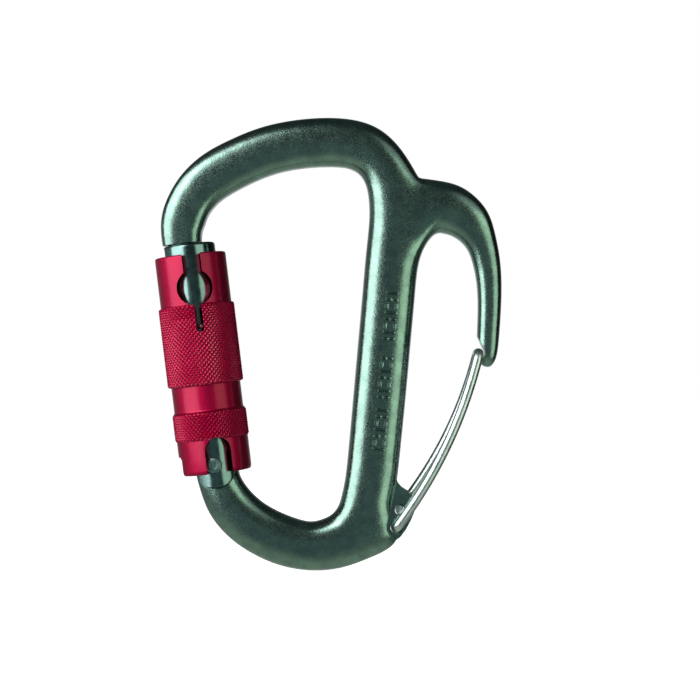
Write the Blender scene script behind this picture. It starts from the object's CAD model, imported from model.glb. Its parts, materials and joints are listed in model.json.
"""Looks of a locking carabiner: forged frame with a friction spur, twist-lock gate, wire gate.

The spine stands along Z and the front face looks along -Y. Lengths below are in millimetres,
and MM makes them metres. On the gate, u is the height above the hinge along the gate's axis.
"""

import json
from math import asin, atan2, copysign, cos, degrees, hypot, pi, radians, sin

import bmesh
import bpy
import numpy as np
from mathutils import Matrix, Vector


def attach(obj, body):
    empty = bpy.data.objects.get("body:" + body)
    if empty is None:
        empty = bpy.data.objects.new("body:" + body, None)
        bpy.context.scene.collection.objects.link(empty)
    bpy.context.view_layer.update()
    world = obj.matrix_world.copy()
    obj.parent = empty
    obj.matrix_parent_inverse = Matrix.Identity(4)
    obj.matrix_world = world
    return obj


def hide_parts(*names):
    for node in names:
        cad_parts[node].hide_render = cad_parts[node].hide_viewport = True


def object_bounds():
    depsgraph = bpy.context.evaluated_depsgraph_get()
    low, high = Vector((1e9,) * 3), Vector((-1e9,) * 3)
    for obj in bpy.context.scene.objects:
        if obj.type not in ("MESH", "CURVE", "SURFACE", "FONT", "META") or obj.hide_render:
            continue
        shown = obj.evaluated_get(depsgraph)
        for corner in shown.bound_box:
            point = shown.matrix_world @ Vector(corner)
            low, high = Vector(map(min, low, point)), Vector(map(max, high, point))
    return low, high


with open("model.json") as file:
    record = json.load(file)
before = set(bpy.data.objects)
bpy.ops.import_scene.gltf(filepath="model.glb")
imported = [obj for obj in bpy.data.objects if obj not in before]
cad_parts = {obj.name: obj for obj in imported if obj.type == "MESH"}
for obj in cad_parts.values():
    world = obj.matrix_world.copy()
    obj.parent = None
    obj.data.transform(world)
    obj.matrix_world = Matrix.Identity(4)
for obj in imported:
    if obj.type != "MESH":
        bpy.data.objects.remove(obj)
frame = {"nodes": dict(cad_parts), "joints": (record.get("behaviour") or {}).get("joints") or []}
cad_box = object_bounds()
bpy.context.scene.view_settings.view_transform = "Standard"

MM = 0.001
PAST = 9.0  # cutters run out this far, past any surface
JOINTS = {joint["name"]: joint for joint in frame["joints"]}
HINGE = Vector(JOINTS["gate_hinge"]["pos_m"]) / MM
GATE_UP = -Vector(JOINTS["sleeve_turn"]["axis"])
GATE_LEAN = atan2(-GATE_UP.x, GATE_UP.z)
GATE_PLACE = Matrix.Translation(HINGE * MM) @ Matrix.Rotation(-GATE_LEAN, 4, "Y")

# Frame sections from the nose over the top bow, down the spine and round to the hinge:
# centre x, centre z, width to the outside, width to the inside, half thickness.
BAR_SECTIONS = [
    (-35.9, -26.8, 4.6, 4.6, 4.3),
    (-37.3, -20.7, 4.9, 4.65, 4.4),
    (-37.5, -16.4, 5.25, 5.25, 4.6),
    (-36.5, -12.4, 5.35, 5.35, 4.7),
    (-34.1, -8.1, 5.55, 5.55, 4.75),
    (-30.3, -4.3, 5.8, 5.8, 4.75),
    (-25.2, -0.9, 5.83, 5.83, 4.75),
    (-18.2, 2.6, 5.85, 5.85, 4.75),
    (-9.5, 5.0, 5.88, 5.88, 4.75),
    (-1.0, 5.85, 5.87, 5.87, 4.75),
    (4.8, 4.7, 5.86, 5.86, 4.8),
    (8.8, 1.6, 5.8, 5.8, 4.85),
    (11.7, -3.4, 6.1, 6.1, 4.9),
    (13.15, -11.0, 6.3, 6.3, 4.9),
    (13.15, -19.5, 6.3, 6.3, 4.9),
    (13.15, -29.0, 6.3, 6.3, 4.9),
    (13.15, -40.5, 6.3, 6.3, 4.9),
    (13.15, -52.0, 6.3, 6.3, 4.9),
    (13.1, -63.0, 6.25, 6.25, 4.9),
    (13.0, -70.5, 6.25, 6.2, 4.9),
    (12.7, -75.2, 6.25, 6.1, 4.85),
    (12.1, -79.4, 6.95, 6.0, 4.8),
    (11.0, -83.3, 10.3, 5.9, 4.8),
    (8.6, -86.9, 8.1, 5.8, 4.75),
    (4.9, -89.4, 6.8, 5.7, 4.75),
    (0.0, -90.9, 6.0, 5.75, 4.75),
    (-5.5, -90.5, 6.0, 5.9, 4.75),
    (-10.8, -88.9, 6.0, 5.9, 4.75),
    (-15.9, -86.3, 5.85, 5.8, 4.75),
    (-20.2, -82.4, 5.65, 5.5, 4.7),
    (-22.7, -78.3, 5.3, 5.0, 4.65),
    (-24.0, -75.0, 5.2, 5.15, 4.6),
    (-25.2, -70.5, 5.2, 5.2, 4.6),
    (-26.7, -64.0, 5.2, 5.2, 4.6),
]
SPUR_ROOT = 12  # the spur leaves the spine between this section and the second one after it
SPUR_MOUTH = [  # points round that opening, as section and side
    (SPUR_ROOT, 0), (SPUR_ROOT, 1), (SPUR_ROOT + 1, 1), (SPUR_ROOT + 2, 1),
    (SPUR_ROOT + 2, 0), (SPUR_ROOT + 2, 7), (SPUR_ROOT + 1, 7), (SPUR_ROOT, 7),
]
SPUR_SECTIONS = [
    (23.2, -7.8, 6.7, 6.6, 4.75),
    (27.2, -8.2, 6.0, 5.8, 4.65),
    (30.9, -10.7, 5.3, 4.9, 4.45),
    (33.8, -14.5, 4.0, 3.8, 4.1),
    (35.7, -19.2, 3.35, 3.3, 3.75),
    (36.9, -24.6, 3.0, 3.0, 3.5),
    (37.5, -30.5, 2.8, 2.8, 3.3),
    (37.75, -36.2, 2.7, 2.7, 3.2),
    (38.0, -40.6, 2.4, 2.5, 3.0),
    (38.05, -43.0, 1.8, 1.75, 2.5),
    (37.8, -44.6, 1.0, 1.0, 1.5),
]
SIDES = 8
CORNER = 0.772  # how far a section's corner points reach: 0.707 is an ellipse, 1 is a rectangle
NOSE_CORNER = 0.81
FOOT_CORNER = 0.75  # leaner where the open sleeve comes close to the lower bow
SKIN_LEVEL = 3

SPUR_CREASE = 0.85  # keeps the cusp crisp where the spur leaves the bow
MACHINED_SHARP_DEG = 32

# The wire gate, the tab that it hangs on, and its notch in the hook tip. Pairs are x and z.
WIRE_R = 1.18
WIRE_LEG_Y = 3.2
WIRE_TOP = (35.8, -41.4)
NOTCH_GAP = 0.36
LOW_HOLE = (19.85, -84.8)
HIGH_HOLE = (20.55, -80.4)
HOLE_R = 1.32
LOW_HOLE_PLAY = 0.6  # each hole is longer this way, so that the stiff wire can swing
HIGH_HOLE_PLAY = -0.88
HOLE_WEB = 0.5  # the play is milled from the side where the wire enters, down to this web
LOW_LEG_BOW = 2.45
HIGH_LEG_BOW = 2.35
LEG_ENDS = (0.045, 0.955)  # the share of its line that a leg runs before the wire bends
BEND_R = 1.9
CROSSBAR_HALF = 1.3
TAB_HALF = 1.7
TAB_FORGED_HALF = 2.1
TAB = [
    (12.0, -74.0), (18.6, -72.6), (19.5, -74.1), (20.3, -74.9), (21.3, -75.45), (22.2, -75.9),
    (23.4, -77.2), (23.95, -79.0), (23.9, -80.8), (23.25, -82.8), (22.3, -85.0), (21.2, -86.8),
    (20.2, -87.75), (18.9, -88.6), (14.0, -89.0),
]
POCKET = [
    (19.6, -71.0), (18.75, -75.0), (18.2, -79.8), (17.5, -84.0), (17.7, -85.4),
    (18.5, -86.7), (20.3, -88.6), (26.0, -92.0), (30.0, -80.0), (26.0, -70.0),
]

# Stamped marks down the front of the spine: plain strokes in three repeating signs.
MARK_X = 14.0
MARK_TOP_Z = -29.0
MARK_PITCH = 1.55
MARK_COUNT = 25
MARK_GAPS = (8, 9, 17)  # signs left out, which part the row into groups
MARK_HALF = 1.15
MARK_FLOOR_Y = -4.5
PUNCH_HEIGHT = 1.2
PUNCH_SLOPE = 0.5
STROKE_HALF = 0.24

# Gate body, nose key and hinge.
NOSE_FACE_U = 53.25
COLLAR_TOP_U = 53.0
COLLAR_EDGE = 0.7
BODY_R = 6.2
BODY_BOTTOM_U = -7.0
CHEEK_TOP_U = 2.4
CHEEK_ACROSS = 4.55
CHEEK_DOWN = 5.2
CHEEK_SQUARENESS = 2.6  # 2 is an ellipse
RECESS = (5.3, 5.7)  # half width and depth of the round recess beside the tongue
FORK_HALF = 2.5
FORK_TOP_U = 6.7
TONGUE_HALF = 2.2
CAM_R = 5.0
CAM_RISE = 1.6  # the cam's radius grows by this for each radian, up to CAM_END
CAM_FALL = 1.3
CAM_END = 0.75
RIVET_R = 1.85
RIVET_PLAY = 0.15
RIVET_END_Y = 6.45
# The key under the nose: name, left and right across the gate, low and high u, half thickness.
KEY_STEPS = [
    ("nose_neck", -4.8, 2.0, 51.9, 55.2, 1.2),
    ("nose_head", -5.0, 2.3, 51.4, 52.05, 1.9),
]
KEY_ROOM = 0.35
KEY_FLOOR = 0.84
COIL_CORE_R = 4.6
COIL_TOP_U = 37.4
COIL_BOTTOM_U = 21.0
COIL_WIRE_R = 0.5
SPRING_BORE_R = 1.65
SPRING_BORE_TOP_U = 18.5
STOP_PIN_U = 15.9
STOP_PIN_R = 0.8
STOP_GROOVE_R = 7.65
STOP_GROOVE_ENDS = (80, 192)  # counted from the spine's side round the back

# Locking sleeve.
SLEEVE_TOP_U = 50.4
SLEEVE_BOTTOM_U = -1.96  # just clear of the bow with the gate fully open
SLEEVE_BORE_R = 6.7
SKIRT_BORE_R = 7.4
SKIRT_MOUTH_R = 7.94
SKIRT_EDGE = (0.55, -1.0)  # the foot's rounding, inward and along
TOP_EDGE = (0.45, 0.45)
PLAIN_R = 8.5
LONG_KNURL_R = 9.15
LONG_KNURL = (19.3, 38.2)
GROOVE_R = 8.3
SHORT_KNURL_R = 8.93
SHORT_KNURL = (6.25, 12.65)
SKIRT_R = 8.55
SLOT_TURN_DEG = 5.8
ARCH_TURN_DEG = 11.5
KEYHOLE_TOP_U = 54  # past the sleeve's top
NECK_HALF = 2.2
BULB_R = 4.25
BULB_U = 42.3
SLIT_HALF = 0.85
SLIT_SHIFT = 0.2
SLIT_BOTTOM_U = 31.7
ARCH_HALF = 3.1
ARCH_TOP_U = 6.6
TAIL_U = SLIT_BOTTOM_U + 1.35
KNURL_AROUND = 52  # diamonds round the sleeve, 1.1 mm apart
KNURL_STEPS = 6  # mesh columns in one diamond
KNURL_PITCH = 1.13
KNURL_DEPTH = 0.38
KNURL_CREST = 1.6  # above 1, the crests are broader than the V grooves

# Camera.
CAMERA_DISTANCE = 450.0
CAMERA_AIM = (5.1, -43.4)
CAMERA_ROLL_DEG = 5.14
CAMERA_FIELD = 168.0  # width of the view at the object
SENSOR = 36.0


# Shapes


def smooth_mesh(name, shape, sharp_deg=35):
    """An object from a bmesh, smooth except at its sharp edges."""
    bmesh.ops.recalc_face_normals(shape, faces=shape.faces)
    mesh = bpy.data.meshes.new(name)
    shape.to_mesh(mesh)
    shape.free()
    mesh.shade_smooth()
    mesh.set_sharp_from_angle(angle=radians(sharp_deg))
    made = bpy.data.objects.new(name, mesh)
    bpy.context.scene.collection.objects.link(made)
    return made


def skin(rings, joined=False):
    """A closed bmesh of quads from ring to ring: its ends are filled, or joined to each other."""
    shape = bmesh.new()
    rows = [[shape.verts.new(Vector(point) * MM) for point in ring] for ring in rings]
    pairs = list(zip(rows, rows[1:]))
    if joined:
        pairs.append((rows[-1], rows[0]))
    else:
        shape.faces.new(rows[0])
        shape.faces.new(rows[-1])
    for first, second in pairs:
        for i in range(len(first)):
            j = (i + 1) % len(first)
            shape.faces.new((first[i], first[j], second[j], second[i]))
    return shape


def circle(radius, height, columns):
    """The points of a level ring about Z."""
    turns = [2 * pi * column / columns for column in range(columns)]
    return [(radius * cos(turn), radius * sin(turn), height) for turn in turns]


def turned(name, profile, columns=128):
    """A solid turned about Z from a profile of radius and height."""
    return smooth_mesh(name, skin([circle(r, h, columns) for r, h in profile]))


def rod(name, radius, low, high, columns=64):
    """A plain round bar along Z."""
    return turned(name, [(radius, low), (radius, high)], columns)


def cross_rod(name, radius, x, z, half_length):
    """A plain round bar along Y, centred on the point x, z."""
    made = rod(name, radius, -half_length, half_length)
    made.matrix_world = Matrix.Translation(Vector((x, 0, z)) * MM) @ Matrix.Rotation(-pi / 2, 4, "X")
    return made


def plate(name, outline, low, high):
    """A flat outline in the XZ plane, from low to high along Y."""
    return smooth_mesh(name, skin([[(x, y, z) for x, z in outline] for y in (low, high)]))


def rounded_plate(name, outline, half, rounding, steps=4):
    """A flat outline in the XZ plane whose two faces run into its rim in a quarter round."""
    points = [Vector(point) for point in outline]
    inward = []
    for before, point, after in zip(points[-1:] + points[:-1], points, points[1:] + points[:1]):
        along = (after - before).normalized()
        inward.append(Vector((along.y, -along.x)))
    levels = []
    for step in range(2 * steps + 2):
        side = -1 if step <= steps else 1
        turn = (step if side < 0 else 2 * steps + 1 - step) * pi / 2 / steps
        levels.append((rounding * (1 - sin(turn)), side * (half - rounding * (1 - cos(turn)))))
    rings = [
        [(p.x + n.x * inset, y, p.y + n.y * inset) for p, n in zip(points, inward)]
        for inset, y in levels
    ]
    return smooth_mesh(name, skin(rings))


def block(name, low, high):
    """A box from its low corner to its high corner."""
    outline = [(low[0], low[2]), (high[0], low[2]), (high[0], high[2]), (low[0], high[2])]
    return plate(name, outline, low[1], high[1])


def arc(centre_x, centre_z, radius, start_deg, end_deg, steps):
    """Points along an arc, with angles counted from +X towards +Z."""
    span = end_deg - start_deg
    turns = [radians(start_deg + span * i / steps) for i in range(steps + 1)]
    return [(centre_x + radius * cos(t), centre_z + radius * sin(t)) for t in turns]


def tube(name, path, radius, sides=24, end_break=0.2):
    """A round bar along a path, turned as little as possible from point to point."""
    points = [Vector(point) for point in path]
    rings = []
    normal = (points[1] - points[0]).orthogonal()
    for before, point, after in zip(points[:1] + points[:-1], points, points[1:] + points[-1:]):
        along = (after - before).normalized()
        normal = (normal - along * normal.dot(along)).normalized()
        other = along.cross(normal)
        turns = [2 * pi * side / sides for side in range(sides)]
        rings.append([point + (normal * cos(t) + other * sin(t)) * radius for t in turns])
    for end, inner in ((0, 1), (-1, -2)):
        along = (points[inner] - points[end]).normalized()
        middle = points[end]
        small = [middle + (Vector(p) - middle) * (1 - end_break / radius) for p in rings[end]]
        rings[end] = [Vector(p) + along * end_break for p in rings[end]]
        rings.insert(0 if end == 0 else len(rings), small)
    return smooth_mesh(name, skin(rings))


def combine(piece, other, operation="DIFFERENCE"):
    """Cuts one shape from a piece, or joins it on, and takes the other shape away."""
    modifier = piece.modifiers.new("combine", "BOOLEAN")
    modifier.operation = operation
    modifier.solver = "EXACT"
    modifier.object = other
    settle(piece)
    bpy.data.objects.remove(other, do_unlink=True)


def settle(piece):
    """Makes the result of a piece's modifiers its own mesh."""
    bpy.context.view_layer.update()
    evaluated = piece.evaluated_get(bpy.context.evaluated_depsgraph_get())
    mesh = bpy.data.meshes.new_from_object(evaluated)
    piece.modifiers.clear()
    piece.data = mesh


def gate_to_frame(points):
    """Points given across and along the gate axis, as x and z in the model."""
    across, up = (cos(GATE_LEAN), sin(GATE_LEAN)), (-sin(GATE_LEAN), cos(GATE_LEAN))
    return [
        (HINGE.x + v * across[0] + u * up[0], HINGE.z + v * across[1] + u * up[1])
        for v, u in points
    ]


# Frame


def section_rings(sections, first_corner=CORNER, last_corner=CORNER):
    """The surface points of each section, whose corners may be fuller or leaner at either end.

    Returns an array of sections, sides and coordinates.
    """
    data = np.array(sections, float)
    count = len(data)
    corners = np.interp(range(count), (4, 9), (first_corner, CORNER))
    corners += np.interp(range(count), (count - 9, count - 7), (0, last_corner - CORNER))
    centres = data[:, :2]
    tangents = np.gradient(centres, axis=0)
    tangents /= np.linalg.norm(tangents, axis=1)[:, None]
    rings = np.zeros((count, SIDES, 3))
    for side in range(SIDES):
        turn = 2 * pi * side / SIDES
        reach = corners / cos(pi / 4) if side % 2 else 1.0
        width = np.where(cos(turn) >= 0, data[:, 2], data[:, 3]) * cos(turn) * reach
        rings[:, side, 0] = centres[:, 0] - tangents[:, 1] * width
        rings[:, side, 2] = centres[:, 1] + tangents[:, 0] * width
        rings[:, side, 1] = data[:, 4] * sin(turn) * reach
    return rings


def cage_through(rings, fixed_start=None):
    """The cage whose subdivision surface passes through the rings' points."""
    round_ring = np.zeros((SIDES, SIDES))
    for side in range(SIDES):
        round_ring[side, side] = 4 / 6
        round_ring[side, (side + 1) % SIDES] = 1 / 6
        round_ring[side, side - 1] = 1 / 6
    cage = np.einsum("ij,rjc->ric", np.linalg.inv(round_ring), rings)
    count = len(cage)
    along = np.eye(count)
    for row in range(1, count - 1):
        along[row, row - 1 : row + 2] = (1 / 6, 4 / 6, 1 / 6)
    if fixed_start is not None:
        cage[0] = fixed_start
    return np.einsum("ij,jkc->ikc", np.linalg.inv(along), cage)


def skin_bar(shape, cage):
    """Adds the bar's faces, open where the spur grows. Returns its points by section and side."""
    hidden = (SPUR_ROOT + 1, 0)
    verts = {}
    for row in range(len(cage)):
        for side in range(SIDES):
            if (row, side) != hidden:
                verts[row, side] = shape.verts.new(Vector(cage[row, side]) * MM)
    for row in range(len(cage) - 1):
        for side in range(SIDES):
            corners = [(row, side), (row, (side + 1) % SIDES)]
            corners += [(r + 1, s) for r, s in reversed(corners)]
            if hidden not in corners:
                shape.faces.new([verts[corner] for corner in corners])
    for row in (0, len(cage) - 1):
        shape.faces.new([verts[row, side] for side in range(SIDES)])
    return verts


def skin_spur(shape, verts, bar_cage):
    """Adds the spur's faces, from the opening in the bar to the hook tip."""
    start = np.array([bar_cage[corner] for corner in SPUR_MOUTH])
    rings = section_rings(SPUR_SECTIONS)
    cage = cage_through(np.concatenate([rings[:1], rings]), fixed_start=start)[1:]
    previous = [verts[corner] for corner in SPUR_MOUTH]
    for ring in cage:
        current = [shape.verts.new(Vector(point) * MM) for point in ring]
        for side in range(SIDES):
            after = (side + 1) % SIDES
            shape.faces.new((previous[side], previous[after], current[after], current[side]))
        previous = current
    shape.faces.new(previous)


def forged_bar():
    """The bar and the spur as one smooth skin, before any machining."""
    cage = cage_through(section_rings(BAR_SECTIONS, NOSE_CORNER, FOOT_CORNER))
    shape = bmesh.new()
    verts = skin_bar(shape, cage)
    skin_spur(shape, verts, cage)
    creases = shape.edges.layers.float.new("crease_edge")
    for side in (1, 7):
        shape.edges.get((verts[SPUR_ROOT, 0], verts[SPUR_ROOT, side]))[creases] = SPUR_CREASE
    made = smooth_mesh("forged_frame", shape)
    smooth = made.modifiers.new("forged_skin", "SUBSURF")
    smooth.levels = SKIN_LEVEL
    smooth.render_levels = SKIN_LEVEL
    settle(made)
    return made


def mill_tab(piece):
    """The tab for the wire gate, between its two milled pockets, with the wire's two holes."""
    combine(piece, rounded_plate("tab", TAB, TAB_FORGED_HALF, 0.7), "UNION")
    for low, high in ((-PAST, -TAB_HALF), (TAB_HALF, PAST)):
        combine(piece, plate("pocket", POCKET, low, high))
    holes = ((LOW_HOLE, LOW_HOLE_PLAY, -1), (HIGH_HOLE, HIGH_HOLE_PLAY, 1))
    for (x, z), shift, entry in holes:
        combine(piece, plate("hole", arc(x, z, HOLE_R, 0, 350, 35), -PAST, PAST))
        right = arc(max(x, x + shift), z, HOLE_R - 0.04, -90, 90, 20)
        left = arc(min(x, x + shift), z, HOLE_R - 0.04, 90, 270, 20)
        low, high = sorted((entry * PAST, entry * (HOLE_WEB - TAB_HALF)))
        combine(piece, plate("play", right + left, low, high))


def mill_notch(piece):
    """The notch on the inside of the hook tip, which takes the wire gate's crossbar."""
    x, z = WIRE_TOP
    seat = arc(x, z, WIRE_R + NOTCH_GAP, -70, 40, 20)
    mouth = [(x - 0.5, z + 3.8), (x - 3, z + 5.5), (x - 3, z - 3.4)]
    combine(piece, plate("notch", seat + mouth, -PAST, PAST))


def mill_nose(piece):
    """The nose face and the key below it, which the gate's collar closes over."""
    low = NOSE_FACE_U - 14
    below_nose = [(-12, low), (12, low), (12, NOSE_FACE_U), (-12, NOSE_FACE_U)]
    combine(piece, plate("below_nose", gate_to_frame(below_nose), -PAST, PAST))
    for name, left, right, low, high, half in KEY_STEPS:
        outline = gate_to_frame([(left, low), (right, low), (right, high), (left, high)])
        combine(piece, plate(name, outline, -half, half), "UNION")


def cam_outline():
    """The top of the hinge tongue: a spiral that lifts the plunger as the gate opens."""
    points = []
    for step in range(61):
        turn = radians(-90 + 180 * step / 60)
        lift = min(max(turn, 0.0), CAM_END)
        fall = max(turn - CAM_END, 0.0)
        radius = CAM_R + CAM_RISE * lift - CAM_FALL * fall
        points.append((radius * sin(turn), radius * cos(turn)))
    return points


def mill_tongue(piece):
    """The hinge end, milled down to a tongue with a cam on its top and the rivet's bore."""
    above = gate_to_frame([*cam_outline(), (9, 0), (9, 14), (-9, 14), (-9, 0)])
    combine(piece, plate("above_tongue", above, -PAST, PAST))
    shoulder = [(v * RECESS[0], u * RECESS[1]) for v, u in arc(0, 0, 1, 196, 344, 40)]
    beside = gate_to_frame([(9, 15), (-9, 15), (-9, -1.6), *shoulder, (9, -1.6)])
    for low, high in ((-PAST, -TONGUE_HALF), (TONGUE_HALF, PAST)):
        combine(piece, plate("beside_tongue", beside, low, high))
    combine(piece, cross_rod("rivet_bore", RIVET_R + RIVET_PLAY, HINGE.x, HINGE.z, PAST))


def stamped_stroke(first, last):
    """The punch of one stroke: wide at the surface and narrow at its floor."""
    along = Vector((last[0] - first[0], last[1] - first[1])).normalized()
    turn = degrees(atan2(along.y, along.x))
    mouth = (MARK_FLOOR_Y - PUNCH_HEIGHT, STROKE_HALF + PUNCH_SLOPE * PUNCH_HEIGHT)
    floor = (MARK_FLOOR_Y, STROKE_HALF - 0.1)
    rings = []
    for y, half in (mouth, floor):
        ends = arc(*last, half, turn - 90, turn + 90, 8) + arc(*first, half, turn + 90, turn + 270, 8)
        rings.append([(x, y, z) for x, z in ends])
    return smooth_mesh("punch", skin(rings))


def stamp_marks(piece):
    """A row of plain stamped strokes down the front of the spine, in three repeating signs."""
    for mark in range(MARK_COUNT):
        if mark in MARK_GAPS:
            continue
        z = MARK_TOP_Z - MARK_PITCH * mark
        left, right = MARK_X - MARK_HALF, MARK_X + MARK_HALF
        signs = (
            [((left, z), (right, z))],
            [((left, z), (MARK_X - 0.35, z)), ((MARK_X + 0.35, z), (right, z))],
            [((left, z - 0.4), (left, z + 0.4)), ((right, z - 0.4), (right, z + 0.4))],
        )
        for first, last in signs[mark % 3]:
            combine(piece, stamped_stroke(first, last))


def make_frame():
    """The forging, machined for the gate, the wire gate and its marks."""
    piece = forged_bar()
    mill_tab(piece)
    mill_notch(piece)
    mill_nose(piece)
    mill_tongue(piece)
    stamp_marks(piece)
    piece.data.shade_smooth()
    piece.data.set_sharp_from_angle(angle=radians(MACHINED_SHARP_DEG))
    return piece


# Gate


def on_gate(piece):
    """Puts a piece that was made about the gate's own axis in its place."""
    piece.matrix_world = GATE_PLACE @ piece.matrix_world
    return piece


def fillet(radius, height, inward, along, steps=6):
    """A turned edge rounded from a side wall into a flat end, that far inward and along."""
    turns = [pi / 2 * step / steps for step in range(steps + 1)]
    return [(radius - inward * (1 - cos(t)), height - along * (1 - sin(t))) for t in turns]


def make_gate_body():
    """The turned bar of the gate: collar and key slot above, spring groove, fork below."""
    profile = [
        (BODY_R, BODY_BOTTOM_U), (BODY_R, COIL_BOTTOM_U), (COIL_CORE_R, COIL_BOTTOM_U),
        (COIL_CORE_R, COIL_TOP_U), (BODY_R, COIL_TOP_U),
        *fillet(BODY_R, COLLAR_TOP_U, COLLAR_EDGE, COLLAR_EDGE),
    ]
    piece = turned("gate_bar", profile)
    power = 2 / CHEEK_SQUARENESS
    round_end = [
        (copysign(abs(v) ** power, v) * CHEEK_ACROSS, -(abs(u) ** power) * CHEEK_DOWN)
        for v, u in arc(0, 0, 1, 180, 360, 60)
    ]
    top = CHEEK_TOP_U
    around = [(BODY_R, top), (PAST, top), (PAST, -PAST), (-PAST, -PAST), (-PAST, top)]
    combine(piece, plate("round_cheeks", [*around, (-BODY_R, top), *round_end], -PAST, PAST))
    combine(piece, block("fork", (-PAST, -FORK_HALF, -PAST), (PAST, FORK_HALF, FORK_TOP_U)))
    combine(piece, cross_rod("rivet_bore", RIVET_R + 0.04, 0, 0, PAST))
    combine(piece, rod("spring_bore", SPRING_BORE_R, FORK_TOP_U - 1, SPRING_BORE_TOP_U))
    pin_hole = rod("pin_hole", STOP_PIN_R + 0.1, 1.5, PAST)
    pin_hole.matrix_world = Matrix.Translation((0, 0, STOP_PIN_U * MM)) @ Matrix.Rotation(-pi / 2, 4, "X")
    combine(piece, pin_hole)
    for name, _, right, low, high, half in KEY_STEPS:
        side = half + KEY_ROOM
        top = high + KEY_ROOM if high < COLLAR_TOP_U else COLLAR_TOP_U + 2
        low_corner = (-PAST, -side, low - KEY_FLOOR)
        combine(piece, block(name + "_slot", low_corner, (right + KEY_ROOM, side, top)))
    piece.data.shade_smooth()
    piece.data.set_sharp_from_angle(angle=radians(MACHINED_SHARP_DEG))
    return on_gate(piece)


def make_rivet():
    """The hinge rivet, its two heads turned with shallow rings."""
    rings = [(0.08, 0.02), (0.3, 0.0), (0.5, 0.07), (0.8, 0.07), (0.95, 0.01), (1.15, 0.01)]
    rings += [(1.3, 0.08), (1.55, 0.09), (1.72, 0.16), (RIVET_R, 0.32)]
    top = [(r, RIVET_END_Y - drop) for r, drop in rings]
    bottom = [(r, -h) for r, h in top]
    piece = turned("ringed_rivet", bottom + top[::-1], 64)
    piece.matrix_world = Matrix.Rotation(-pi / 2, 4, "X")
    return on_gate(piece)


def knurl_relief(turn_share, height):
    """How deep the knurl is cut at a place: 0 on a diamond's crest, 1 in the V grooves."""
    around = turn_share * KNURL_AROUND
    up = height / KNURL_PITCH
    grooves = [abs((value % 1.0) - 0.5) * 2 for value in (around + up, around - up)]
    return max(grooves) ** KNURL_CREST


def knurled_ring(radius, height, columns, run_out):
    """A ring through the knurl, with less depth towards the band's ends."""
    points = []
    for column in range(columns):
        share = column / columns
        depth = KNURL_DEPTH * run_out * knurl_relief(share, height)
        turn = 2 * pi * share
        points.append(((radius - depth) * cos(turn), (radius - depth) * sin(turn), height))
    return points


def knurled_band(radius, low, high, columns):
    """Rings from the foot of a knurled band to its top, with its bevelled ends."""
    step = KNURL_PITCH / KNURL_STEPS
    count = round((high - low) / step)
    rings = [circle(radius - KNURL_DEPTH - 0.1, low - 0.05, columns)]
    for row in range(count + 1):
        height = low + (high - low) * row / count
        near_end = min(row, count - row) / 2
        bevel = max(0.0, 1 - near_end) * 0.22
        rings.append(knurled_ring(radius - bevel, height, columns, min(1.0, 0.5 + near_end / 2)))
    rings.append(circle(radius - KNURL_DEPTH - 0.1, high + 0.05, columns))
    return rings


def front_cutter(name, outline, azimuth_deg):
    """A plate through the sleeve's front wall only, turned about the gate to the azimuth."""
    made = plate(name, outline, -11, -4)
    made.matrix_world = Matrix.Rotation(radians(azimuth_deg), 4, "Z")
    return made


def stop_groove():
    """The cutter of the groove inside the bore, in which the stop pin's head runs."""
    start, end = STOP_GROOVE_ENDS
    outline = arc(0, 0, STOP_GROOVE_R, start, end, 40) + arc(0, 0, SLEEVE_BORE_R - 1, end, start, 40)
    half = STOP_PIN_R + 0.3
    levels = (STOP_PIN_U - half, STOP_PIN_U + half)
    return smooth_mesh("stop_groove", skin([[(x, y, level) for x, y in outline] for level in levels]))


def sleeve_rings(columns):
    """The sleeve's wall, up its outside and down its bore."""

    def rings(*profile):
        return [circle(radius, height, columns) for radius, height in profile]

    outside = rings(*fillet(SKIRT_R, SLEEVE_BOTTOM_U, *SKIRT_EDGE)[::-1])
    outside += rings((SKIRT_R, 2.0), (SKIRT_R, SHORT_KNURL[0] - 0.1))
    outside += knurled_band(SHORT_KNURL_R, *SHORT_KNURL, columns)
    foot_of_groove = fillet(0, SHORT_KNURL[1] + 0.15, 0.45, -0.6)[::-1]
    outside += rings(*[(GROOVE_R - r, h) for r, h in foot_of_groove], (GROOVE_R, LONG_KNURL[0] - 0.2))
    outside += knurled_band(LONG_KNURL_R, *LONG_KNURL, columns)
    outside += rings((PLAIN_R, LONG_KNURL[1] + 0.2), (PLAIN_R, 44.0))
    outside += rings(*fillet(PLAIN_R, SLEEVE_TOP_U, *TOP_EDGE))
    inside = rings(
        (SLEEVE_BORE_R + 0.25, SLEEVE_TOP_U), (SLEEVE_BORE_R, SLEEVE_TOP_U - 0.25),
        (SLEEVE_BORE_R, 3.7), (SKIRT_BORE_R, 3.0), (SKIRT_BORE_R, -1.0),
        (SKIRT_MOUTH_R, SLEEVE_BOTTOM_U),
    )
    return outside + inside


def keyhole_outline():
    """The slot for the nose key: a neck at the sleeve's top, a round bulb, and a slit below."""
    neck_turn = degrees(asin(NECK_HALF / BULB_R))
    slit_turns = [degrees(asin((SLIT_SHIFT + side * SLIT_HALF) / BULB_R)) for side in (-1, 1)]
    left = arc(0, BULB_U, BULB_R, 90 + neck_turn, 270 + slit_turns[0], 28)
    right = arc(0, BULB_U, BULB_R, slit_turns[1] - 90, 90 - neck_turn, 28)
    slit_end = arc(SLIT_SHIFT, SLIT_BOTTOM_U + SLIT_HALF, SLIT_HALF, 180, 360, 14)
    return [(-NECK_HALF, KEYHOLE_TOP_U), *left, *slit_end, *right, (NECK_HALF, KEYHOLE_TOP_U)]


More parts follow.
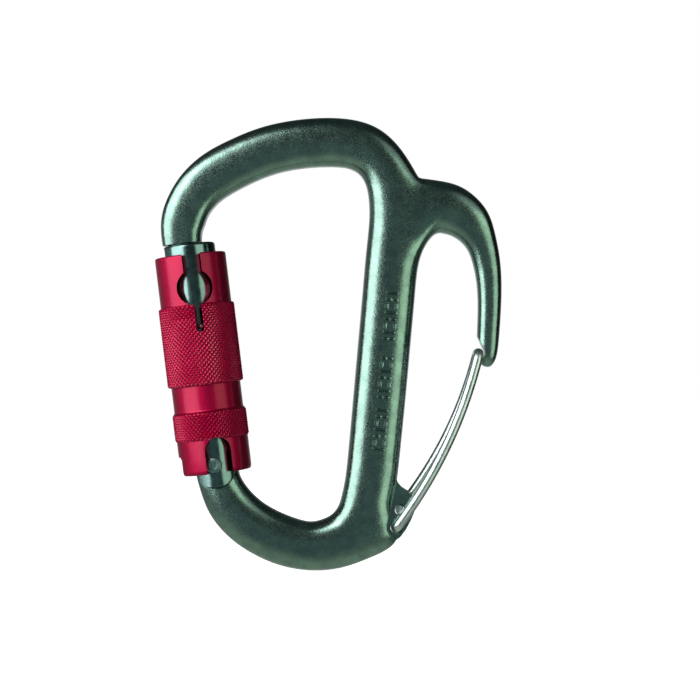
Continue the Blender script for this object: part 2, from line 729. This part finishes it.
def make_sleeve():
    """The locking sleeve: keyhole slot at its top, two knurled bands, three arches at its foot."""
    columns = KNURL_AROUND * KNURL_STEPS
    piece = smooth_mesh("knurled_sleeve", skin(sleeve_rings(columns), joined=True))
    foot = [(-ARCH_HALF, -6), (ARCH_HALF, -6)]
    arch = [*arc(0, ARCH_TOP_U - ARCH_HALF, ARCH_HALF, 0, 180, 30), *foot]
    flat_arch = [(-4.0, -6), (4.0, -6), (4.0, 1.9), (3.3, 2.6), (-3.3, 2.6), (-4.0, 1.9)]
    cuts = (
        ("keyhole", keyhole_outline(), SLOT_TURN_DEG), ("front_arch", arch, ARCH_TURN_DEG),
        ("back_arch", arch, ARCH_TURN_DEG + 180), ("outer_arch", flat_arch, -90),
    )
    for name, outline, azimuth in cuts:
        combine(piece, front_cutter(name, outline, azimuth))
    combine(piece, stop_groove())
    piece.data.shade_smooth()
    piece.data.set_sharp_from_angle(angle=radians(28))
    return on_gate(piece)


def make_sleeve_spring():
    """The torsion spring round the gate bar, its upper tail standing in the sleeve's slit."""
    mean = (COIL_CORE_R + SLEEVE_BORE_R) / 2
    azimuth = radians(SLOT_TURN_DEG - 90) + (SLIT_SHIFT + 0.3) / PLAIN_R
    path = [(r * cos(azimuth), r * sin(azimuth), TAIL_U) for r in (8.75, 7.4, mean + 0.6)]
    turns, steps = 6, 36
    for step in range(2, turns * steps + 1):
        turn = azimuth - 2 * pi * step / steps
        height = TAIL_U + (COIL_BOTTOM_U + 1.2 - TAIL_U) * step / (turns * steps)
        path.append((mean * cos(turn), mean * sin(turn), height))
    return on_gate(tube("torsion_spring", path, COIL_WIRE_R, 14, 0.3))


# Wire gate


def leg_points(foot, bow, side, steps=40):
    """One leg of the wire gate, from its hole up to the loop, bowed away from the spine."""
    top = WIRE_TOP
    length = hypot(top[0] - foot[0], top[1] - foot[1])
    along = ((top[0] - foot[0]) / length, (top[1] - foot[1]) / length)
    points = []
    for step in range(steps + 1):
        share = LEG_ENDS[0] + (LEG_ENDS[1] - LEG_ENDS[0]) * step / steps
        out = 4 * bow * share * (1 - share)
        x = foot[0] + along[0] * length * share + along[1] * out
        z = foot[1] + along[1] * length * share - along[0] * out
        points.append((x, side * WIRE_LEG_Y, z))
    return points


def bend(first, corner, last, steps=12):
    """A smooth bend that leaves one point and arrives at another, turning at the corner."""
    a, b, c = Vector(first), Vector(corner), Vector(last)
    shares = [step / steps for step in range(1, steps)]
    return [tuple((1 - t) ** 2 * a + 2 * t * (1 - t) * b + t * t * c) for t in shares]


def make_wire_gate():
    """The bent wire: low hole, front leg, crossbar in the hook's notch, back leg, high hole."""
    front = leg_points(LOW_HOLE, LOW_LEG_BOW, -1)
    back = leg_points(HIGH_HOLE, HIGH_LEG_BOW, 1)[::-1]
    end_y = TAB_HALF - 0.25

    def across(place, *depths):
        return [(place[0], y, place[1]) for y in depths]

    front_start = across(LOW_HOLE, end_y, BEND_R - WIRE_LEG_Y)
    back_end = across(HIGH_HOLE, WIRE_LEG_Y - BEND_R, -end_y)
    foot, front_corner = across(LOW_HOLE, -WIRE_LEG_Y) + across(WIRE_TOP, -WIRE_LEG_Y)
    heel, back_corner = across(HIGH_HOLE, WIRE_LEG_Y) + across(WIRE_TOP, WIRE_LEG_Y)
    crossbar = across(WIRE_TOP, -CROSSBAR_HALF, 0.0, CROSSBAR_HALF)
    path = [
        *front_start, *bend(front_start[-1], foot, front[0]), *front,
        *bend(front[-1], front_corner, crossbar[0]), *crossbar,
        *bend(crossbar[-1], back_corner, back[0]), *back,
        *bend(back[-1], heel, back_end[0]), *back_end,
    ]
    return tube("bent_wire", path, WIRE_R)


# Materials

WAVE_PERIOD = 0.314  # metres from crest to crest of a wave texture at scale 1
MIX_SHARE, MIX_FIRST, MIX_SECOND, MIX_RESULT = 0, 6, 7, 2  # numbers of a colour mix's sockets


def linear(hex_colour):
    """The linear colour of an sRGB hex value."""
    channels = [int(hex_colour[place : place + 2], 16) / 255 for place in (1, 3, 5)]
    curve = [c / 12.92 if c <= 0.04045 else ((c + 0.055) / 1.055) ** 2.4 for c in channels]
    return (*curve, 1.0)


def new_material(name):
    """A material with no nodes yet."""
    material = bpy.data.materials.new(name)
    material.use_nodes = True
    material.node_tree.nodes.clear()
    return material


def add(owner, kind, sockets=None, **settings):
    """Adds a node, sets its properties, and sets or links its sockets, by name or by number.

    Where a socket is given a node, it is linked to that node's first output.
    """
    tree = owner.node_tree
    node = tree.nodes.new(kind)
    for name, value in settings.items():
        setattr(node, name, value)
    for socket, value in (sockets or {}).items():
        if isinstance(value, bpy.types.Node):
            value = value.outputs[0]
        if isinstance(value, bpy.types.NodeSocket):
            tree.links.new(value, node.inputs[socket])
        else:
            node.inputs[socket].default_value = value
    return node


def per_metre(size_mm):
    """The scale of a noise whose lumps are about that size."""
    return 1 / (size_mm * MM)


def shade(material, pattern, low, high, first, second):
    """The metal's colour, from one hex colour to another as a pattern runs from low to high."""
    share = add(
        material, "ShaderNodeMapRange", {"Value": pattern, "From Min": low, "From Max": high}
    )
    return add(
        material, "ShaderNodeMix",
        {MIX_SHARE: share, MIX_FIRST: linear(first), MIX_SECOND: linear(second)},
        data_type="RGBA",
    ).outputs[MIX_RESULT]


def lathe_rings(material, place, pitch_mm, depth_mm, waver, edge_mm):
    """The normal of a turned surface: its tool's rings, and edges broken by a small radius."""
    scale = WAVE_PERIOD * per_metre(pitch_mm)
    rings = add(
        material, "ShaderNodeTexWave",
        {"Vector": place, "Scale": scale, "Distortion": waver, "Detail": 2.0},
        wave_type="BANDS", bands_direction="Z",
    ).outputs["Fac"]
    edges = add(material, "ShaderNodeBevel", {"Radius": edge_mm * MM}, samples=4)
    return add(
        material, "ShaderNodeBump",
        {"Height": rings, "Distance": depth_mm * MM, "Strength": 1.0, "Normal": edges},
    )


def blasted_green_aluminium():
    """Aluminium forging, tumbled, bead-blasted and dyed grey-green in the anodising bath.

    Blasting gives a satin sheen that breaks up into specks where light turns to dark, and the
    dye takes a little darker and bluer in patches. Real beads leave pits of about 0.1 mm, too
    fine to show, so the specks are drawn at 0.5 mm.
    """
    material = new_material("blasted_green_anodised_aluminium")
    place = add(material, "ShaderNodeTexCoord").outputs["Object"]
    patches = add(
        material, "ShaderNodeTexNoise",
        {"Vector": place, "Scale": per_metre(2.6), "Detail": 3.0, "Roughness": 0.6},
    )
    specks = add(
        material, "ShaderNodeTexNoise",
        {"Vector": place, "Scale": per_metre(0.5), "Detail": 3.0, "Roughness": 0.65},
    )
    waves = add(
        material, "ShaderNodeTexNoise", {"Vector": place, "Scale": per_metre(5.0), "Detail": 1.0}
    )
    gloss = add(
        material, "ShaderNodeMapRange",
        {"Value": specks, "From Min": 0.3, "From Max": 0.7, "To Min": 0.18, "To Max": 0.3},
    )
    normal = add(material, "ShaderNodeBevel", {"Radius": 0.25 * MM}, samples=4)
    for height in (waves, specks):
        normal = add(
            material, "ShaderNodeBump",
            {"Height": height, "Distance": 0.03 * MM, "Strength": 1.0, "Normal": normal},
        )
    colour = shade(material, patches, 0.36, 0.66, "#6d877f", "#7c9c8e")
    shader = add(
        material, "ShaderNodeBsdfPrincipled",
        {
            "Base Color": colour, "Metallic": 1.0, "Roughness": gloss, "Normal": normal,
            "Coat Weight": 0.25, "Coat Roughness": 0.3,
        },
    )
    add(material, "ShaderNodeOutputMaterial", {"Surface": shader})
    return material


def turned_red_aluminium():
    """Aluminium turned on a lathe, knurled, and dyed red.

    The tool leaves rings on the plain bands, which stretch the gloss along the sleeve, and the
    clear anodic film lays a pale sheen over the dye. A real feed of 0.1 mm is too fine to show,
    so the rings are drawn 0.22 mm apart.
    """
    material = new_material("turned_red_anodised_aluminium")
    place = add(material, "ShaderNodeTexCoord").outputs["Object"]
    mottle = add(
        material, "ShaderNodeTexNoise", {"Vector": place, "Scale": per_metre(0.9), "Detail": 3.0}
    )
    gloss = add(
        material, "ShaderNodeMapRange",
        {"Value": mottle, "From Min": 0.3, "From Max": 0.7, "To Min": 0.5, "To Max": 0.6},
    )
    colour = shade(material, mottle, 0.3, 0.7, "#a0053a", "#b40740")
    normal = lathe_rings(material, place, 0.22, 0.004, 1.5, 0.15)
    shader = add(
        material, "ShaderNodeBsdfPrincipled",
        {
            "Base Color": colour, "Metallic": 1.0, "Roughness": gloss, "Normal": normal,
            "Coat Weight": 0.35, "Coat Roughness": 0.2,
        },
    )
    add(material, "ShaderNodeOutputMaterial", {"Surface": shader})
    return material


def polished_dark_aluminium():
    """Aluminium bar, turned smooth, polished, and dyed nearly black-green.

    Polishing makes it the glossiest of the dark pieces, with hard-edged highlights and only a
    trace of the tool's rings, which are drawn 0.3 mm apart because real ones are too fine.
    """
    material = new_material("polished_dark_anodised_aluminium")
    place = add(material, "ShaderNodeTexCoord").outputs["Object"]
    mottle = add(
        material, "ShaderNodeTexNoise", {"Vector": place, "Scale": per_metre(1.6), "Detail": 3.0}
    )
    gloss = add(
        material, "ShaderNodeMapRange",
        {"Value": mottle, "From Min": 0.3, "From Max": 0.7, "To Min": 0.16, "To Max": 0.23},
    )
    colour = shade(material, mottle, 0.3, 0.7, "#5f7a78", "#6f8c88")
    normal = lathe_rings(material, place, 0.3, 0.002, 1.0, 0.2)
    shader = add(
        material, "ShaderNodeBsdfPrincipled",
        {
            "Base Color": colour, "Metallic": 1.0, "Roughness": gloss, "Normal": normal,
            "Coat Weight": 0.3, "Coat Roughness": 0.1,
        },
    )
    add(material, "ShaderNodeOutputMaterial", {"Surface": shader})
    return material


def faced_rivet_steel():
    """Rivet steel under a dark film, its head faced on a lathe and dulled by the setting tool.

    Facing leaves rings round the middle, and the setting tool scuffs them to uneven patches.
    """
    material = new_material("faced_rivet_steel")
    place = add(material, "ShaderNodeTexCoord").outputs["Object"]
    rings = add(
        material, "ShaderNodeTexWave",
        {"Vector": place, "Scale": WAVE_PERIOD * per_metre(0.26), "Distortion": 2.0, "Detail": 3.0},
        wave_type="RINGS", rings_direction="Z",
    ).outputs["Fac"]
    scuffs = add(
        material, "ShaderNodeTexNoise",
        {"Vector": place, "Scale": per_metre(0.35), "Detail": 3.0, "Roughness": 0.7},
    )
    gloss = add(
        material, "ShaderNodeMapRange",
        {"Value": scuffs, "From Min": 0.3, "From Max": 0.7, "To Min": 0.3, "To Max": 0.5},
    )
    colour = shade(material, scuffs, 0.35, 0.7, "#5d7f7d", "#86a5a0")
    normal = add(
        material, "ShaderNodeBump", {"Height": rings, "Distance": 0.012 * MM, "Strength": 1.0}
    )
    shader = add(
        material, "ShaderNodeBsdfPrincipled",
        {"Base Color": colour, "Metallic": 1.0, "Roughness": gloss, "Normal": normal},
    )
    add(material, "ShaderNodeOutputMaterial", {"Surface": shader})
    return material


def drawn_steel_wire(name, light, dark, gloss, scratch_mm):
    """Steel wire drawn through a die.

    The die leaves scratches along the wire, which break its bright highlight into long streaks.
    Real ones are a few hundredths of a millimetre wide, and these are drawn wider to show.
    """
    material = new_material(name)
    place = add(material, "ShaderNodeTexCoord").outputs["Object"]
    lean = atan2(WIRE_TOP[0] - LOW_HOLE[0], WIRE_TOP[1] - LOW_HOLE[1])
    stretched = add(
        material, "ShaderNodeMapping",
        {"Vector": place, "Rotation": (0.0, -lean, 0.0), "Scale": (1.0, 1.0, 0.06)},
    )
    scratches = add(
        material, "ShaderNodeTexNoise",
        {"Vector": stretched, "Scale": per_metre(scratch_mm), "Detail": 3.0, "Roughness": 0.6},
    )
    roughness = add(
        material, "ShaderNodeMapRange",
        {
            "Value": scratches, "From Min": 0.3, "From Max": 0.7,
            "To Min": gloss, "To Max": gloss + 0.12,
        },
    )
    colour = shade(material, scratches, 0.3, 0.7, dark, light)
    normal = add(
        material, "ShaderNodeBump", {"Height": scratches, "Distance": 0.006 * MM, "Strength": 1.0}
    )
    shader = add(
        material, "ShaderNodeBsdfPrincipled",
        {"Base Color": colour, "Metallic": 1.0, "Roughness": roughness, "Normal": normal},
    )
    add(material, "ShaderNodeOutputMaterial", {"Surface": shader})
    return material


# Stage


def pale_floor(height):
    """A wide pale floor that reads as white, with a soft shadow under the object."""
    floor = smooth_mesh("floor", skin([circle(4000, height, 64), circle(4000, height - 2, 64)]))
    material = new_material("pale_floor")
    matt = add(material, "ShaderNodeBsdfDiffuse", {"Color": linear("#ffffff")})
    glow = add(material, "ShaderNodeEmission", {"Color": linear("#ffffff"), "Strength": 0.97})
    both = add(material, "ShaderNodeAddShader", {0: matt, 1: glow})
    add(material, "ShaderNodeOutputMaterial", {"Surface": both})
    floor.data.materials.append(material)
    floor.visible_glossy = False


def soft_box(name, azimuth_deg, elevation_deg, distance, width, height, radiance, colour):
    """An area light that faces the object. Azimuth 0 is in front, and 90 on the spur's side."""
    light = bpy.data.lights.new(name, "AREA")
    light.shape = "RECTANGLE"
    light.size = width * MM
    light.size_y = height * MM
    light.energy = radiance * pi * width * height * MM * MM
    light.color = linear(colour)[:3]
    lamp = bpy.data.objects.new(name, light)
    bpy.context.scene.collection.objects.link(lamp)
    a, e = radians(azimuth_deg), radians(elevation_deg)
    away = Vector((sin(a) * cos(e), -cos(a) * cos(e), sin(e)))
    middle = (cad_box[0] + cad_box[1]) / 2
    lamp.location = middle + away * distance * MM
    lamp.rotation_euler = away.to_track_quat("Z", "Y").to_euler()
    lamp.visible_camera = False


def room_colour(world, axes):
    """What the metal mirrors: walls darkest on the spur's side, a pale table, a bright back."""
    sideways = add(world, "ShaderNodeMapRange", {"Value": axes["X"], "From Min": -1.0})
    walls = add(world, "ShaderNodeValToRGB", {"Fac": sideways})
    walls.color_ramp.elements[0].color = (0.28, 0.3, 0.3, 1)
    walls.color_ramp.elements[1].color = (0.02, 0.02, 0.02, 1)
    walls.color_ramp.elements.new(0.43).color = (0.09, 0.125, 0.14, 1)
    walls.color_ramp.elements.new(0.51).color = (0.16, 0.21, 0.225, 1)
    low = add(
        world, "ShaderNodeMapRange",
        {"Value": axes["Z"], "From Min": -0.75, "From Max": -0.35, "To Min": 1.0, "To Max": 0.0},
    )
    with_table = add(
        world, "ShaderNodeMix",
        {MIX_SHARE: low, MIX_FIRST: walls, MIX_SECOND: (0.45, 0.49, 0.42, 1)},
        data_type="RGBA",
    ).outputs[MIX_RESULT]
    behind = add(
        world, "ShaderNodeMapRange", {"Value": axes["Y"], "From Min": 0.78, "From Max": 0.95}
    )
    return add(
        world, "ShaderNodeMix",
        {MIX_SHARE: behind, MIX_FIRST: with_table, MIX_SECOND: (0.8, 0.8, 0.8, 1)},
        data_type="RGBA",
    ).outputs[MIX_RESULT]


def studio_world():
    """White to the camera, while what the metal mirrors is a dim room, darker overhead."""
    world = bpy.data.worlds.new("studio")
    world.use_nodes = True
    world.node_tree.nodes.clear()
    way = add(world, "ShaderNodeTexCoord").outputs["Generated"]
    axes = add(world, "ShaderNodeSeparateXYZ", {"Vector": way}).outputs
    overhead = add(
        world, "ShaderNodeMapRange",
        {"Value": axes["Z"], "From Min": 0.0, "From Max": 0.17, "To Min": 1.0, "To Max": 0.3},
    )
    room = add(
        world, "ShaderNodeBackground", {"Color": room_colour(world, axes), "Strength": overhead}
    )
    white = add(world, "ShaderNodeBackground", {"Color": (1, 1, 1, 1), "Strength": 1.0})
    seen = add(world, "ShaderNodeLightPath").outputs["Is Camera Ray"]
    mix = add(world, "ShaderNodeMixShader", {"Fac": seen, 1: room, 2: white})
    add(world, "ShaderNodeOutputWorld", {"Surface": mix})
    bpy.context.scene.world = world


def front_camera():
    """A camera square to the front face, rolled so that the top of the object leans to the right."""
    camera = bpy.data.cameras.new("camera")
    camera.sensor_width = SENSOR
    camera.lens = SENSOR * CAMERA_DISTANCE / CAMERA_FIELD
    holder = bpy.data.objects.new("camera", camera)
    bpy.context.scene.collection.objects.link(holder)
    roll = radians(CAMERA_ROLL_DEG)
    right = Vector((cos(roll), 0, sin(roll)))
    up = Vector((-sin(roll), 0, cos(roll)))
    turn = Matrix((right, up, right.cross(up))).transposed().to_4x4()
    x, z = CAMERA_AIM
    holder.matrix_world = Matrix.Translation(Vector((x, -CAMERA_DISTANCE, z)) * MM) @ turn
    bpy.context.scene.camera = holder


# Assembly


def fit(piece, body, node, material):
    """Puts a finished piece on its body, in place of its plain node."""
    piece.data.materials.clear()
    piece.data.materials.append(material)
    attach(piece, body)
    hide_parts(node)


def carry_over(node, material):
    """Gives a hidden node, whose plain shape is enough, its finish."""
    slot = frame["nodes"][node].material_slots[0]
    slot.link = "OBJECT"
    slot.material = material


spring_steel = drawn_steel_wire("drawn_spring_steel", "#d8d8d4", "#8f8f8c", 0.2, 0.2)
fit(make_frame(), "frame", "frame", blasted_green_aluminium())
fit(make_gate_body(), "gate", "gate_body", polished_dark_aluminium())
fit(make_rivet(), "gate", "gate_hinge_rivet", faced_rivet_steel())
fit(make_sleeve(), "sleeve", "locking_sleeve", turned_red_aluminium())
fit(make_sleeve_spring(), "sleeve", "sleeve_return_spring", spring_steel)
bright_wire = drawn_steel_wire("bright_drawn_stainless_steel", "#dbe6e4", "#b4c4c2", 0.28, 0.25)
fit(make_wire_gate(), "wire_gate", "wire_gate", bright_wire)
for hidden_node in ("gate_return_spring", "gate_plunger", "sleeve_stop_pin"):
    carry_over(hidden_node, spring_steel)

pale_floor(cad_box[0].z / MM - 0.6)
soft_box("key_left", -55, 11, 500, 520, 500, 3.6, "#ffffff")
soft_box("fill_right", 47, 4, 600, 420, 600, 1.7, "#eefae0")
soft_box("shoulder_panel", -34, 27, 500, 230, 260, 2.8, "#ffffff")
soft_box("overhead_right", 45, 36, 400, 260, 180, 0.45, "#ffffff")
studio_world()
front_camera()
